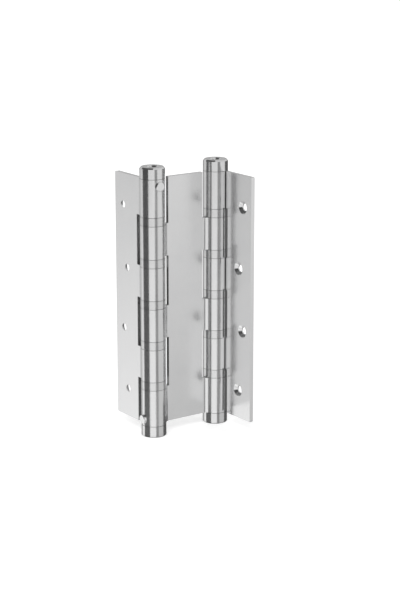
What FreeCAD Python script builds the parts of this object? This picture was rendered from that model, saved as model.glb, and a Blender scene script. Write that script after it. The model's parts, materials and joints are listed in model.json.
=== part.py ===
"""Double action cafe hinge: two leaves on a middle plate, with a sprung barrel at each of its edges.

Frame: origin at the hinge's centre, +Z up along the barrels, +X along the middle plate from the frame
barrel to the door barrel. At rest both leaves stand square to the middle plate, on opposite sides of it.
"""
import FreeCAD, Part
import math
import os

from FreeCAD import Vector

# Sheet and leaves, in millimetres
leaf_height = 180.0
leaf_reach = 39.25         # barrel axis to the leaf's outer edge
sheet = 3.0
corner_radius = 1.0        # outer corners of the leaves
fold_gap = 1.2             # space between a leaf and the middle plate when folded shut
barrel_span = 54.35        # between the barrel axes, along the middle plate
leaf_slot = 2.5            # space between the barrel and the leaf beside the middle plate's knuckles
plate_slot = 3.4           # space between the barrel and the middle plate beside a leaf's knuckles
slot_edge_radius = 0.2     # plate edges along these slots

# Rolled knuckles
barrel_diameter = 18.0
end_knuckle = 26.8         # height of the top and the bottom knuckle
knuckle_count = 6
bend_radius = 4.5          # hollow side of the bend between plate and knuckle
seam_gap = 0.5             # between the rolled edge and the bend

# Bearing rings
ring_height = 5.95
ring_play = 0.25           # above and below each ring

# Screw holes
screw_hole_diameter = 5.4
countersink_diameter = 9.4
outer_hole_reach = 29.35   # barrel axis to the outer screw holes
inner_hole_reach = 24.6    # barrel axis to the inner screw holes
hole_pitch = 45.35
hole_count = 4
hole_drop = 0.85           # middle of the hole rows below the leaf's middle

# Plugs at the barrel ends
cap_height = 8.3
cap_chamfer = 1.0          # rim of the top cap
foot_chamfer = 0.4         # rim of the bottom cap
cap_seat = 0.25            # between cap and knuckle
shank_length = 16.0
socket_width = 6.0         # across the flats of the hexagon
socket_depth = 9.0
socket_mouth_diameter = 8.4

# Pins that hold the plugs
pin_diameter = 6.5
pin_inset = 4.7            # below or above the knuckle's end
pin_proud = 1.5
pin_tip_radius = 2.0       # inner end of the pin, from the barrel axis
pin_chamfer = 0.3

# Spindle tube and torsion spring
tube_wall = 1.3
tube_end_play = 0.2
wire = 1.8                 # square spring wire
spring_turns = 9
spring_leg = 5.0
spring_side_gap = 0.35     # between spring and tube
spring_seat = 0.3          # between the end coils and the plugs

# Fits
running_fit = 0.05         # radial, turning pieces
slip_fit = 0.05            # radial, pins in their holes
leg_fit = 0.1              # spring legs in their pockets

half_height = leaf_height / 2
barrel_radius = barrel_diameter / 2
bore_radius = barrel_radius - sheet
plate_face = -sheet / 2            # the middle plate stands on the barrel axes
leaf_face = sheet / 2 + fold_gap   # inner face of a leaf, from its barrel axis
leaf_slot_reach = barrel_radius + leaf_slot
plate_slot_reach = barrel_radius + plate_slot
ring_space = ring_height + 2 * ring_play
middle_knuckle = (leaf_height - 2 * end_knuckle - (knuckle_count - 1) * ring_space) / (knuckle_count - 2)
spindle_radius = bore_radius - running_fit
tube_bore_radius = spindle_radius - tube_wall
coil_outer_radius = tube_bore_radius - spring_side_gap
coil_radius = coil_outer_radius - wire / 2
leg_inner = math.sqrt(coil_outer_radius ** 2 - wire ** 2) - wire
shank_end = half_height - shank_length
up = Vector(0, 0, 1)
frame_axis = Vector(-barrel_span / 2, 0, 0)


def knuckle_spans():
    """Lower and upper height of each knuckle, from the top one down."""
    heights = [end_knuckle] + [middle_knuckle] * (knuckle_count - 2) + [end_knuckle]
    spans = []
    top = half_height
    for height in heights:
        spans.append((top - height, top))
        top -= height + ring_space
    return spans


def polar(radius, angle, centre=Vector(0, 0, 0)):
    """Point in the XY plane at an angle in degrees round a centre."""
    return centre + Vector(radius * math.cos(math.radians(angle)), radius * math.sin(math.radians(angle)), 0)


def arc(centre, radius, start, end):
    """Arc edge round a centre between two angles in degrees."""
    return Part.Arc(
        polar(radius, start, centre),
        polar(radius, (start + end) / 2, centre),
        polar(radius, end, centre),
    ).toShape()


def rolled_section(inner_face, plate_end):
    """Section of a knuckle with its plate along +X and its outer face towards +Y, round the barrel axis.

    The sheet leaves the plate in a reverse bend that is tangent to the barrel, runs round it at constant
    thickness and stops short of the bend's inner side, which leaves the open seam.
    """
    outer_face = inner_face + sheet
    axis = Vector(0, 0, 0)
    bend_reach = barrel_radius + bend_radius
    bend_y = outer_face + bend_radius
    bend_x = math.sqrt(bend_reach ** 2 - bend_y ** 2)
    bend = Vector(bend_x, bend_y, 0)
    start = math.degrees(math.atan2(bend_y, bend_x))
    clear = bend_radius + sheet + seam_gap
    seam_cosine = (barrel_radius ** 2 + bend_reach ** 2 - clear ** 2) / (2 * barrel_radius * bend_reach)
    end = 360 + start - math.degrees(math.acos(seam_cosine))
    outer_corner = Vector(plate_end, outer_face, 0)
    inner_corner = Vector(plate_end, inner_face, 0)
    edges = [
        Part.makeLine(outer_corner, polar(bend_radius, 270, bend)),
        arc(bend, bend_radius, 270, start + 180),
        arc(axis, barrel_radius, start, end),
        Part.makeLine(polar(barrel_radius, end), polar(bore_radius, end)),
        arc(axis, bore_radius, end, start),
        arc(bend, bend_radius + sheet, start + 180, 270),
        Part.makeLine(polar(bend_radius + sheet, 270, bend), inner_corner),
        Part.makeLine(inner_corner, outer_corner),
    ]
    return Part.Face(Part.Wire(edges))


def rolled_plate(spans, inner_face, slot_reach, plate_end):
    """Flat plate along +X, rounded along its slots, with a rolled knuckle at each of the given heights."""
    corner = Vector(slot_reach, inner_face, -half_height)
    solid = Part.makeBox(plate_end - slot_reach, sheet, leaf_height, corner)
    slot_edges = [
        edge
        for edge in solid.Edges
        if edge.BoundBox.XMax < slot_reach + slot_edge_radius / 2 and edge.BoundBox.ZLength > half_height
    ]
    solid = solid.makeFillet(slot_edge_radius, slot_edges)
    for low, high in spans:
        section = rolled_section(inner_face, slot_reach + sheet)
        section.translate(Vector(0, 0, low))
        solid = solid.fuse(section.extrude(Vector(0, 0, high - low)))
    return solid.removeSplitter()


def radial_hole(direction, height):
    """Hole for a plug pin, from the barrel's surface down to the pin's tip."""
    depth = barrel_radius + pin_proud - pin_tip_radius
    return Part.makeCylinder(
        pin_diameter / 2 + slip_fit,
        depth,
        direction * pin_tip_radius + up * height,
        direction,
    )


def screw_cutter(reach, height):
    """Countersunk hole through a leaf, with the countersink on the inner face."""
    hole_radius = screw_hole_diameter / 2
    sink_radius = countersink_diameter / 2
    outwards = Vector(0, 1, 0)
    mouth = Vector(reach, leaf_face, height)
    hole = Part.makeCylinder(hole_radius, sheet, mouth, outwards)
    sink = Part.makeCone(sink_radius, hole_radius, sink_radius - hole_radius, mouth, outwards)
    return hole.fuse(sink)


def leaf():
    """Leaf along +X from its barrel axis, with its mounting face towards +Y."""
    solid = rolled_plate(knuckle_spans()[0::2], leaf_face, leaf_slot_reach, leaf_reach)
    corners = [
        edge
        for edge in solid.Edges
        if edge.BoundBox.XMin > leaf_reach - corner_radius / 2 and edge.BoundBox.ZLength < corner_radius / 2
    ]
    solid = solid.makeFillet(corner_radius, corners)
    top_hole = hole_pitch * (hole_count - 1) / 2 - hole_drop
    for index in range(hole_count):
        reach = inner_hole_reach if index % 2 else outer_hole_reach
        solid = solid.cut(screw_cutter(reach, top_hole - index * hole_pitch))
    return solid.cut(radial_hole(Vector(-1, 0, 0), half_height - pin_inset))


def middle_plate():
    """Middle plate: two halves that mirror each other, each rolled round its own barrel from the -Y side."""
    half = rolled_plate(knuckle_spans()[1::2], plate_face, plate_slot_reach, barrel_span / 2)
    half = half.cut(radial_hole(Vector(-1, 0, 0), pin_inset - half_height))
    half = half.mirror(Vector(0, 0, 0), Vector(0, 1, 0))
    half.translate(frame_axis)
    other_half = half.mirror(Vector(0, 0, 0), Vector(1, 0, 0))
    return half.fuse(other_half).removeSplitter()


def half_turn(shape):
    """Copy turned half a turn about the hinge's upright axis: the door side from the frame side."""
    turned = shape.copy()
    turned.rotate(Vector(0, 0, 0), up, 180)
    return turned


def ring(low):
    """Bearing ring between two knuckles, turning on the spindle tube."""
    base = up * low
    outside = Part.makeCylinder(barrel_radius, ring_height, base)
    return outside.cut(Part.makeCylinder(bore_radius, ring_height, base))


def plug_blank(chamfer):
    """Cap and shank of a top plug, turned in one piece, with a pocket in its end for a spring leg."""
    top = half_height + cap_height
    seat = half_height + cap_seat
    section = Part.makePolygon(
        [
            Vector(0, 0, top),
            Vector(0, 0, shank_end),
            Vector(spindle_radius, 0, shank_end),
            Vector(spindle_radius, 0, seat),
            Vector(barrel_radius, 0, seat),
            Vector(barrel_radius, 0, top - chamfer),
            Vector(barrel_radius - chamfer, 0, top),
            Vector(0, 0, top),
        ]
    )
    blank = Part.Face(section).revolve(Vector(0, 0, 0), up, 360)
    pocket = Part.makeBox(
        wire + 2 * leg_fit,
        wire + 2 * leg_fit,
        spring_leg + leg_fit,
        Vector(leg_inner - leg_fit, -leg_fit, shank_end),
    )
    return blank.cut(pocket)


def tension_plug(pin_direction):
    """Top plug with a hexagon socket for the key that winds the spring."""
    top = half_height + cap_height
    corner_reach = socket_width / math.sqrt(3)
    corners = [polar(corner_reach, 30 + 60 * index, up * top) for index in range(7)]
    socket = Part.Face(Part.makePolygon(corners)).extrude(up * -socket_depth)
    mouth_radius = socket_mouth_diameter / 2
    mouth = Part.makeCone(0, mouth_radius, mouth_radius, up * (top - mouth_radius))
    solid = plug_blank(cap_chamfer)
    for cutter in (socket, mouth, radial_hole(pin_direction, half_height - pin_inset)):
        solid = solid.cut(cutter)
    return solid


def anchor_plug(pin_direction):
    """Bottom plug with a closed cap, made as a top plug and turned over about the X axis."""
    solid = plug_blank(foot_chamfer)
    solid.rotate(Vector(0, 0, 0), Vector(1, 0, 0), 180)
    return solid.cut(radial_hole(pin_direction, pin_inset - half_height))


def plug_pin(direction, height):
    """Pin along a radius, from inside the plug to just proud of the knuckle, with its outer rim broken."""
    radius = pin_diameter / 2
    rim_reach = barrel_radius + pin_proud - pin_chamfer
    shaft = Part.makeCylinder(
        radius,
        rim_reach - pin_tip_radius,
        direction * pin_tip_radius + up * height,
        direction,
    )
    rim = Part.makeCone(
        radius,
        radius - pin_chamfer,
        pin_chamfer,
        direction * rim_reach + up * height,
        direction,
    )
    return shaft.fuse(rim)


def spindle_tube():
    """Hollow hinge pin between the two plugs."""
    half_length = shank_end - tube_end_play
    base = up * -half_length
    outside = Part.makeCylinder(spindle_radius, 2 * half_length, base)
    return outside.cut(Part.makeCylinder(tube_bore_radius, 2 * half_length, base))


def torsion_spring():
    """Square-wire torsion spring with a straight leg at each end that stands in a plug's pocket."""
    half_rise = shank_end - spring_seat - wire / 2
    path = Part.Wire(Part.makeHelix(2 * half_rise / spring_turns, 2 * half_rise, coil_radius))
    path.translate(up * -half_rise)
    inner = coil_radius - wire / 2
    low = -half_rise - wire / 2
    corners = [
        Vector(inner, 0, low),
        Vector(inner + wire, 0, low),
        Vector(inner + wire, 0, low + wire),
        Vector(inner, 0, low + wire),
        Vector(inner, 0, low),
    ]
    coil = path.makePipeShell([Part.makePolygon(corners)], True, True)
    leg_height = wire + spring_seat + spring_leg
    upper_leg = Part.makeBox(wire, wire, leg_height, Vector(leg_inner, 0, half_rise - wire / 2))
    lower_leg = Part.makeBox(wire, wire, leg_height, Vector(leg_inner, -wire, low + wire - leg_height))
    return coil.fuse([upper_leg, lower_leg])


def barrel_pieces():
    """Pieces of the frame barrel, round its axis at the origin."""
    away_from_leaf = Vector(0, -1, 0)
    away_from_plate = Vector(-1, 0, 0)
    pieces = {
        "tension_plug": tension_plug(away_from_leaf),
        "tension_pin": plug_pin(away_from_leaf, half_height - pin_inset),
        "anchor_plug": anchor_plug(away_from_plate),
        "anchor_pin": plug_pin(away_from_plate, pin_inset - half_height),
        "spindle_tube": spindle_tube(),
        "torsion_spring": torsion_spring(),
    }
    for number, (low, high) in enumerate(knuckle_spans()[:-1], 1):
        pieces[f"ring_{number}"] = ring(low - ring_play - ring_height)
    return pieces


def build():
    """All nodes by name."""
    frame_leaf = leaf()
    frame_leaf.rotate(Vector(0, 0, 0), up, 90)
    frame_leaf.translate(frame_axis)
    nodes = {"frame_leaf": frame_leaf, "door_leaf": half_turn(frame_leaf), "middle_plate": middle_plate()}
    for name, piece in barrel_pieces().items():
        piece.translate(frame_axis)
        nodes[f"frame_{name}"] = piece
        nodes[f"door_{name}"] = half_turn(piece)
    return nodes


os.makedirs("parts", exist_ok=True)
for node, shape in build().items():
    shape.exportStep(f"parts/{node}.step")
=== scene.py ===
"""Looks of a double action cafe hinge: polished stainless steel on a white studio floor."""
import json
import math

import bpy
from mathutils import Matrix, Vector


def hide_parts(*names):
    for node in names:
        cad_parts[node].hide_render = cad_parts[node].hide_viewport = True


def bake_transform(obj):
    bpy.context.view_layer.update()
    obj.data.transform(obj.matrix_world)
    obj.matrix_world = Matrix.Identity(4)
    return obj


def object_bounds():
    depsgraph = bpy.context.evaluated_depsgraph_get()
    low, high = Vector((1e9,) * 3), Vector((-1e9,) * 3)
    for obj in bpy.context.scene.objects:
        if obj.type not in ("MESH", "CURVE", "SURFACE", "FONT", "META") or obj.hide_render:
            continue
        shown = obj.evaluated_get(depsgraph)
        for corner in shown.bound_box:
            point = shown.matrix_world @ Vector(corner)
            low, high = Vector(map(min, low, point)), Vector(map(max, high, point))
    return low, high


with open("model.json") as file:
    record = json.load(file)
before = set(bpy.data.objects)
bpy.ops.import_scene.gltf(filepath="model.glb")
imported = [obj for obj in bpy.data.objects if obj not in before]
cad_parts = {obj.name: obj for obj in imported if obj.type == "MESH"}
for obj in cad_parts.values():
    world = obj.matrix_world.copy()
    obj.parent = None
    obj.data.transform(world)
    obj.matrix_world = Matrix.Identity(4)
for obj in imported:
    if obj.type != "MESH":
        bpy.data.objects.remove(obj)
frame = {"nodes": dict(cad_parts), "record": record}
cad_low, cad_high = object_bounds()

# Camera, from a fit to the hinge's edges: degrees, metres and millimetres of lens
CAMERA_AZIMUTH = -35.335
CAMERA_ELEVATION = 14.616
CAMERA_DISTANCE = 1.23962
CAMERA_TARGET = Vector((0.00881, -0.00686, -0.00192))
CAMERA_NEAR = 0.01
CAMERA_FAR = 100.0
LENS = 103.338
LENS_SENSOR = 36.0

# Steel's clouds and grain: noise per metre, stretch of the grain and depth of its relief in metres
CLOUD_SCALE = 45.0
CLOUD_DETAIL = 3.0
GRAIN_SCALE = 2600.0
GRAIN_DETAIL = 2.0
NOISE_LOW = 0.3
NOISE_HIGH = 0.7
EVEN = (1, 1, 1)
ALONG_Z = (1, 1, 0.02)
AROUND_Z = (0.04, 0.04, 1)
FINE_GRAIN = 2e-6
COARSE_GRAIN = 3e-6
GRAIN_STRENGTH = 0.12

# Shares of the steel's tone and roughness where its clouds are darkest and lightest
CLOUD_DARK = (0.97, 0.97, 0.975)
CLOUD_LIGHT = (1.02, 1.02, 1.02)
CLOUD_POLISHED = 0.85
CLOUD_DULL = 1.1

# What the grain adds to the roughness
GRAIN_POLISHED = -0.02
GRAIN_DULL = 0.03

# Painted shade in seams and sockets: how far the occlusion test reaches in metres, the openness where the
# painted shade is full and gone, its share of the tone
PAINTED_SHADE_REACH = 0.007
PAINTED_SHADE_RAYS = 12
PAINTED_SHADE_FULL = 0.25
PAINTED_SHADE_GONE = 0.6
PAINTED_SHADE_TONE = (0.32, 0.32, 0.32)

# Floor and lamps, in metres and watts
FLOOR_HALF = 12.0
FLOOR_ALBEDO = 0.9
FLOOR_LIFT = 0.38           # share of the floor's white that doesn't depend on the lamps
AMBIENT = 0.8
KEY_POWER = 14.0
KEY_SIZE = 1.2
KEY_PLACE = Vector((-1.1, -1.0, 1.7))

# Cards round the hinge: heights and radii in metres, steps in degrees
CARD_RADIUS = 1.0
CARD_STEP = 5
CARD_FOOT = -0.8
CARD_TOP = 0.2
FRONT_TOP = 0.02
RIGHT_FLAG_TOP = 0.06
BEHIND_FLAG_TOP = -0.06
FADE_LOW = -0.43
FADE_HIGH = -0.1

# Level cards above and below the hinge
SECTOR_STEP = 10
CEILING_HEIGHT = 0.5
GROUND_HEIGHT = -0.56
NEAR_GROUND_HEIGHT = -0.54
NEAR_GROUND_RADIUS = 0.5


def add_object(name, data):
    """New object in the scene."""
    obj = bpy.data.objects.new(name, data)
    bpy.context.scene.collection.objects.link(obj)
    return obj


def new_material(name):
    """Empty node material with its output node."""
    material = bpy.data.materials.new(name)
    material.use_nodes = True
    tree = material.node_tree
    tree.nodes.clear()
    output = tree.nodes.new("ShaderNodeOutputMaterial")
    return material, tree, output


def noise(tree, coordinates, scale, stretch, detail):
    """Noise stretched along one direction, in the piece's own coordinates."""
    mapping = tree.nodes.new("ShaderNodeMapping")
    mapping.inputs["Scale"].default_value = stretch
    tree.links.new(coordinates, mapping.inputs["Vector"])
    texture = tree.nodes.new("ShaderNodeTexNoise")
    texture.inputs["Scale"].default_value = scale
    texture.inputs["Detail"].default_value = detail
    tree.links.new(mapping.outputs["Vector"], texture.inputs["Vector"])
    return texture.outputs["Fac"]


def spread(tree, value, low, high):
    """Maps the middle of a noise's range to low..high."""
    node = tree.nodes.new("ShaderNodeMapRange")
    node.inputs["From Min"].default_value = NOISE_LOW
    node.inputs["From Max"].default_value = NOISE_HIGH
    node.inputs["To Min"].default_value = low
    node.inputs["To Max"].default_value = high
    tree.links.new(value, node.inputs["Value"])
    return node.outputs["Result"]


def shade(grey, shares):
    """Opaque colour from a grey and its share in each channel."""
    red, green, blue = shares
    return (grey * red, grey * green, grey * blue, 1)


def painted_shade(tree, tone, grey):
    """Painted shade: darkens the steel's colour in narrow seams, sockets and slots, where shade falls."""
    occlusion = tree.nodes.new("ShaderNodeAmbientOcclusion")
    occlusion.samples = PAINTED_SHADE_RAYS
    occlusion.inputs["Distance"].default_value = PAINTED_SHADE_REACH
    openness = tree.nodes.new("ShaderNodeMapRange")
    openness.inputs["From Min"].default_value = PAINTED_SHADE_FULL
    openness.inputs["From Max"].default_value = PAINTED_SHADE_GONE
    tree.links.new(occlusion.outputs["AO"], openness.inputs["Value"])
    mix = tree.nodes.new("ShaderNodeMix")
    mix.data_type = "RGBA"
    mix.inputs["A"].default_value = shade(grey, PAINTED_SHADE_TONE)
    tree.links.new(openness.outputs["Result"], mix.inputs["Factor"])
    tree.links.new(tone, mix.inputs["B"])
    return mix.outputs["Result"]


def steel(name, grey, roughness, grain_stretch, grain_depth):
    """Stainless steel with a faint grain, cloudy polish and slightly uneven tone."""
    material, tree, output = new_material(name)
    shader = tree.nodes.new("ShaderNodeBsdfPrincipled")
    shader.inputs["Metallic"].default_value = 1.0
    place = tree.nodes.new("ShaderNodeTexCoord").outputs["Object"]
    cloud = noise(tree, place, CLOUD_SCALE, EVEN, CLOUD_DETAIL)
    grain = noise(tree, place, GRAIN_SCALE, grain_stretch, GRAIN_DETAIL)

    tone = tree.nodes.new("ShaderNodeMix")
    tone.data_type = "RGBA"
    tone.inputs["A"].default_value = shade(grey, CLOUD_DARK)
    tone.inputs["B"].default_value = shade(grey, CLOUD_LIGHT)
    tree.links.new(spread(tree, cloud, 0.0, 1.0), tone.inputs["Factor"])
    # The base colour carries painted shade in seams, sockets and slots.
    tree.links.new(painted_shade(tree, tone.outputs["Result"], grey), shader.inputs["Base Color"])

    cloud_polish = spread(tree, cloud, roughness * CLOUD_POLISHED, roughness * CLOUD_DULL)
    grain_polish = spread(tree, grain, GRAIN_POLISHED, GRAIN_DULL)
    polish = tree.nodes.new("ShaderNodeMath")
    polish.operation = "ADD"
    tree.links.new(cloud_polish, polish.inputs[0])
    tree.links.new(grain_polish, polish.inputs[1])
    tree.links.new(polish.outputs["Value"], shader.inputs["Roughness"])

    bump = tree.nodes.new("ShaderNodeBump")
    bump.inputs["Strength"].default_value = GRAIN_STRENGTH
    bump.inputs["Distance"].default_value = grain_depth
    tree.links.new(grain, bump.inputs["Height"])
    tree.links.new(bump.outputs["Normal"], shader.inputs["Normal"])
    tree.links.new(shader.outputs["BSDF"], output.inputs["Surface"])
    return material


def dress_nodes():
    """Gives each CAD node the steel of its material slot: grey, roughness and grain."""
    finishes = {
        "plate_steel": steel("plate_steel_satin", 0.81, 0.2, ALONG_Z, FINE_GRAIN),
        "ring_steel": steel("ring_steel_turned", 0.765, 0.2, AROUND_Z, FINE_GRAIN),
        "cap_steel": steel("cap_steel_turned", 0.78, 0.14, AROUND_Z, FINE_GRAIN),
        "pin_steel": steel("pin_steel_ground", 0.82, 0.18, EVEN, FINE_GRAIN),
        "tube_steel": steel("tube_steel_drawn", 0.5, 0.3, ALONG_Z, COARSE_GRAIN),
        "spring_steel": steel("spring_steel_oiled", 0.3, 0.35, EVEN, COARSE_GRAIN),
    }
    for subpart in frame["record"]["subparts"]:
        node = frame["nodes"][subpart["node"]]
        node.data.materials.clear()
        node.data.materials.append(finishes[subpart["material_slot"]])


def wind_springs():
    """Copies of the springs' meshes, baked in place, stand in for the CAD springs, which are hidden."""
    for side in ("frame", "door"):
        node = side + "_torsion_spring"
        spring = add_object(side + "_twisting_spring", frame["nodes"][node].data.copy())
        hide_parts(node)
        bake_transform(spring)


def around(azimuth):
    """Unit vector on the floor at an azimuth measured from the camera's own, rightwards in the picture."""
    turn = math.radians(CAMERA_AZIMUTH + azimuth)
    return Vector((math.sin(turn), -math.cos(turn), 0))


def glow(name, top, bottom):
    """Light of a studio card that fades between the heights that upright faces reflect."""
    material, tree, output = new_material(name)
    emission = tree.nodes.new("ShaderNodeEmission")
    place = tree.nodes.new("ShaderNodeTexCoord").outputs["Object"]
    split = tree.nodes.new("ShaderNodeSeparateXYZ")
    tree.links.new(place, split.inputs["Vector"])
    fade = tree.nodes.new("ShaderNodeMapRange")
    fade.inputs["From Min"].default_value = FADE_LOW
    fade.inputs["From Max"].default_value = FADE_HIGH
    fade.inputs["To Min"].default_value = bottom
    fade.inputs["To Max"].default_value = top
    tree.links.new(split.outputs["Z"], fade.inputs["Value"])
    tree.links.new(fade.outputs["Result"], emission.inputs["Strength"])
    tree.links.new(emission.outputs["Emission"], output.inputs["Surface"])
    material.cycles.emission_sampling = "NONE"
    return material


def add_card(name, vertices, faces, top, bottom):
    """Card that shows only in the metal's reflections, and neither lights nor shades the floor."""
    mesh = bpy.data.meshes.new(name)
    mesh.from_pydata(vertices, [], faces)
    mesh.materials.append(glow(name + "_light", top, bottom))
    card = add_object(name, mesh)
    card.visible_camera = False
    card.visible_diffuse = False
    card.visible_shadow = False
    card.visible_transmission = False
    card.visible_volume_scatter = False


def studio_card(name, start, end, low, high, top, bottom):
    """Upright curved card between two azimuths and two heights, with its light at top and bottom."""
    steps = max(2, round((end - start) / CARD_STEP))
    vertices = []
    faces = []
    for index in range(steps + 1):
        out = around(start + (end - start) * index / steps) * CARD_RADIUS
        vertices.append((out.x, out.y, low))
        vertices.append((out.x, out.y, high))
    for index in range(steps):
        first = 2 * index
        faces.append((first, first + 2, first + 3, first + 1))
    add_card(name, vertices, faces, top, bottom)


def level_card(name, start, end, height, level, radius=CARD_RADIUS):
    """Sector of a round, evenly lit card above or below the hinge, between two azimuths."""
    rim = [Vector((0, 0, 0))]
    for azimuth in range(start, end + 1, SECTOR_STEP):
        rim.append(around(azimuth) * radius)
    vertices = [(point.x, point.y, height) for point in rim]
    add_card(name, vertices, [range(len(rim))], level, level)


def make_upright_cards():
    """Cards and flags that give the polished barrels their light and dark bands."""
    studio_card("white_card_front", -35, 21, CARD_FOOT, FRONT_TOP, top=0.83, bottom=0.99)
    studio_card("dark_flag_above", -35, 5, FRONT_TOP, CEILING_HEIGHT, top=0.05, bottom=0.05)
    studio_card("dark_flag_left", -93, -35, CARD_FOOT, CEILING_HEIGHT, top=0.085, bottom=0.14)
    studio_card("pale_card_left", -118, -93, CARD_FOOT, CARD_TOP, top=0.715, bottom=1.04)
    studio_card("grey_card_left", -145, -118, CARD_FOOT, CARD_TOP, top=0.62, bottom=0.62)
    studio_card("dark_flag_behind_left", -175, -145, CARD_FOOT, BEHIND_FLAG_TOP, top=0.13, bottom=0.13)
    studio_card("grey_flag_right", 21, 45, CARD_FOOT, CARD_TOP, top=0.3, bottom=0.3)
    studio_card("pale_card_right", 45, 97, CARD_FOOT, CARD_TOP, top=0.8, bottom=0.615)
    studio_card("dark_flag_right", 97, 160, CARD_FOOT, RIGHT_FLAG_TOP, top=0.12, bottom=0.12)
    studio_card("dark_flag_behind", 160, 185, CARD_FOOT, BEHIND_FLAG_TOP, top=0.12, bottom=0.12)
    studio_card("grey_card_behind", 97, 235, CARD_TOP, CEILING_HEIGHT, top=0.45, bottom=0.45)


def make_level_cards():
    """Ceiling for bevels and cap tops, ground for countersinks, pins and views from above."""
    level_card("dark_ceiling", -130, 10, CEILING_HEIGHT, level=0.1)
    level_card("pale_ceiling", 10, 230, CEILING_HEIGHT, level=0.7)
    level_card("pale_ground_front", -35, 25, GROUND_HEIGHT, level=0.8)
    level_card("dark_ground_left", -95, -35, GROUND_HEIGHT, level=0.2)
    level_card("pale_ground_left", -145, -95, GROUND_HEIGHT, level=0.7)
    level_card("dark_ground_behind", -185, -145, GROUND_HEIGHT, level=0.3)
    level_card("white_ground_near", -110, -30, NEAR_GROUND_HEIGHT, level=1.1, radius=NEAR_GROUND_RADIUS)
    level_card("grey_ground_right", 25, 95, GROUND_HEIGHT, level=0.5)
    level_card("dark_ground_right", 95, 175, GROUND_HEIGHT, level=0.25)


def seen_directly(tree):
    """1 for camera, glossy and transmission rays, which see the white background."""
    light_path = tree.nodes.new("ShaderNodeLightPath")
    total = light_path.outputs["Is Camera Ray"]
    for kind in ("Is Glossy Ray", "Is Transmission Ray"):
        add = tree.nodes.new("ShaderNodeMath")
        add.operation = "ADD"
        add.use_clamp = True
        tree.links.new(total, add.inputs[0])
        tree.links.new(light_path.outputs[kind], add.inputs[1])
        total = add.outputs["Value"]
    return total


def floor_material():
    """Matt white with a share of its own light, so that it meets the white background."""
    material, tree, output = new_material("studio_floor")
    matt = tree.nodes.new("ShaderNodeBsdfDiffuse")
    matt.inputs["Color"].default_value = (FLOOR_ALBEDO, FLOOR_ALBEDO, FLOOR_ALBEDO, 1)
    lift = tree.nodes.new("ShaderNodeEmission")
    share = tree.nodes.new("ShaderNodeMath")
    share.operation = "MULTIPLY"
    share.inputs[1].default_value = FLOOR_LIFT
    tree.links.new(seen_directly(tree), share.inputs[0])
    tree.links.new(share.outputs["Value"], lift.inputs["Strength"])
    both = tree.nodes.new("ShaderNodeAddShader")
    tree.links.new(matt.outputs["BSDF"], both.inputs[0])
    tree.links.new(lift.outputs["Emission"], both.inputs[1])
    tree.links.new(both.outputs["Shader"], output.inputs["Surface"])
    material.cycles.emission_sampling = "NONE"
    return material


def make_floor():
    """White floor under the hinge that keeps its shadow."""
    corners = [(-1, -1), (1, -1), (1, 1), (-1, 1)]
    vertices = [(x * FLOOR_HALF, y * FLOOR_HALF, cad_low.z) for x, y in corners]
    mesh = bpy.data.meshes.new("floor")
    mesh.from_pydata(vertices, [], [(0, 1, 2, 3)])
    mesh.materials.append(floor_material())
    floor = add_object("floor", mesh)
    floor.visible_glossy = False


def make_world():
    """White all round where it is seen, a little softer where it only lights."""
    world = bpy.data.worlds.new("studio")
    world.use_nodes = True
    bpy.context.scene.world = world
    tree = world.node_tree
    tree.nodes.clear()
    ambient = tree.nodes.new("ShaderNodeBackground")
    ambient.inputs["Color"].default_value = (1, 1, 1, 1)
    ambient.inputs["Strength"].default_value = AMBIENT
    white = tree.nodes.new("ShaderNodeBackground")
    white.inputs["Color"].default_value = (1, 1, 1, 1)
    white.inputs["Strength"].default_value = 1.0
    mix = tree.nodes.new("ShaderNodeMixShader")
    tree.links.new(seen_directly(tree), mix.inputs["Fac"])
    tree.links.new(ambient.outputs["Background"], mix.inputs[1])
    tree.links.new(white.outputs["Background"], mix.inputs[2])
    output = tree.nodes.new("ShaderNodeOutputWorld")
    tree.links.new(mix.outputs["Shader"], output.inputs["Surface"])


def make_lamp():
    """One large soft lamp from the upper left."""
    data = bpy.data.lights.new("key", "AREA")
    data.energy = KEY_POWER
    data.size = KEY_SIZE
    lamp = add_object("key", data)
    lamp.location = KEY_PLACE
    lamp.rotation_mode = "QUATERNION"
    lamp.rotation_quaternion = (-KEY_PLACE).to_track_quat("-Z", "Y")
    lamp.visible_glossy = False


def make_camera():
    """Camera at the photograph's viewing angle."""
    azimuth = math.radians(CAMERA_AZIMUTH)
    elevation = math.radians(CAMERA_ELEVATION)
    back = Vector((
        math.sin(azimuth) * math.cos(elevation),
        -math.cos(azimuth) * math.cos(elevation),
        math.sin(elevation),
    ))
    data = bpy.data.cameras.new("camera")
    data.lens = LENS
    data.sensor_width = LENS_SENSOR
    data.sensor_fit = "AUTO"
    data.clip_start = CAMERA_NEAR
    data.clip_end = CAMERA_FAR
    camera = add_object("camera", data)
    camera.location = CAMERA_TARGET + back * CAMERA_DISTANCE
    camera.rotation_mode = "QUATERNION"
    camera.rotation_quaternion = (-back).to_track_quat("-Z", "Y")
    bpy.context.scene.camera = camera


bpy.context.scene.view_settings.view_transform = "Standard"
dress_nodes()
wind_springs()
make_floor()
make_world()
make_lamp()
make_upright_cards()
make_level_cards()
make_camera()
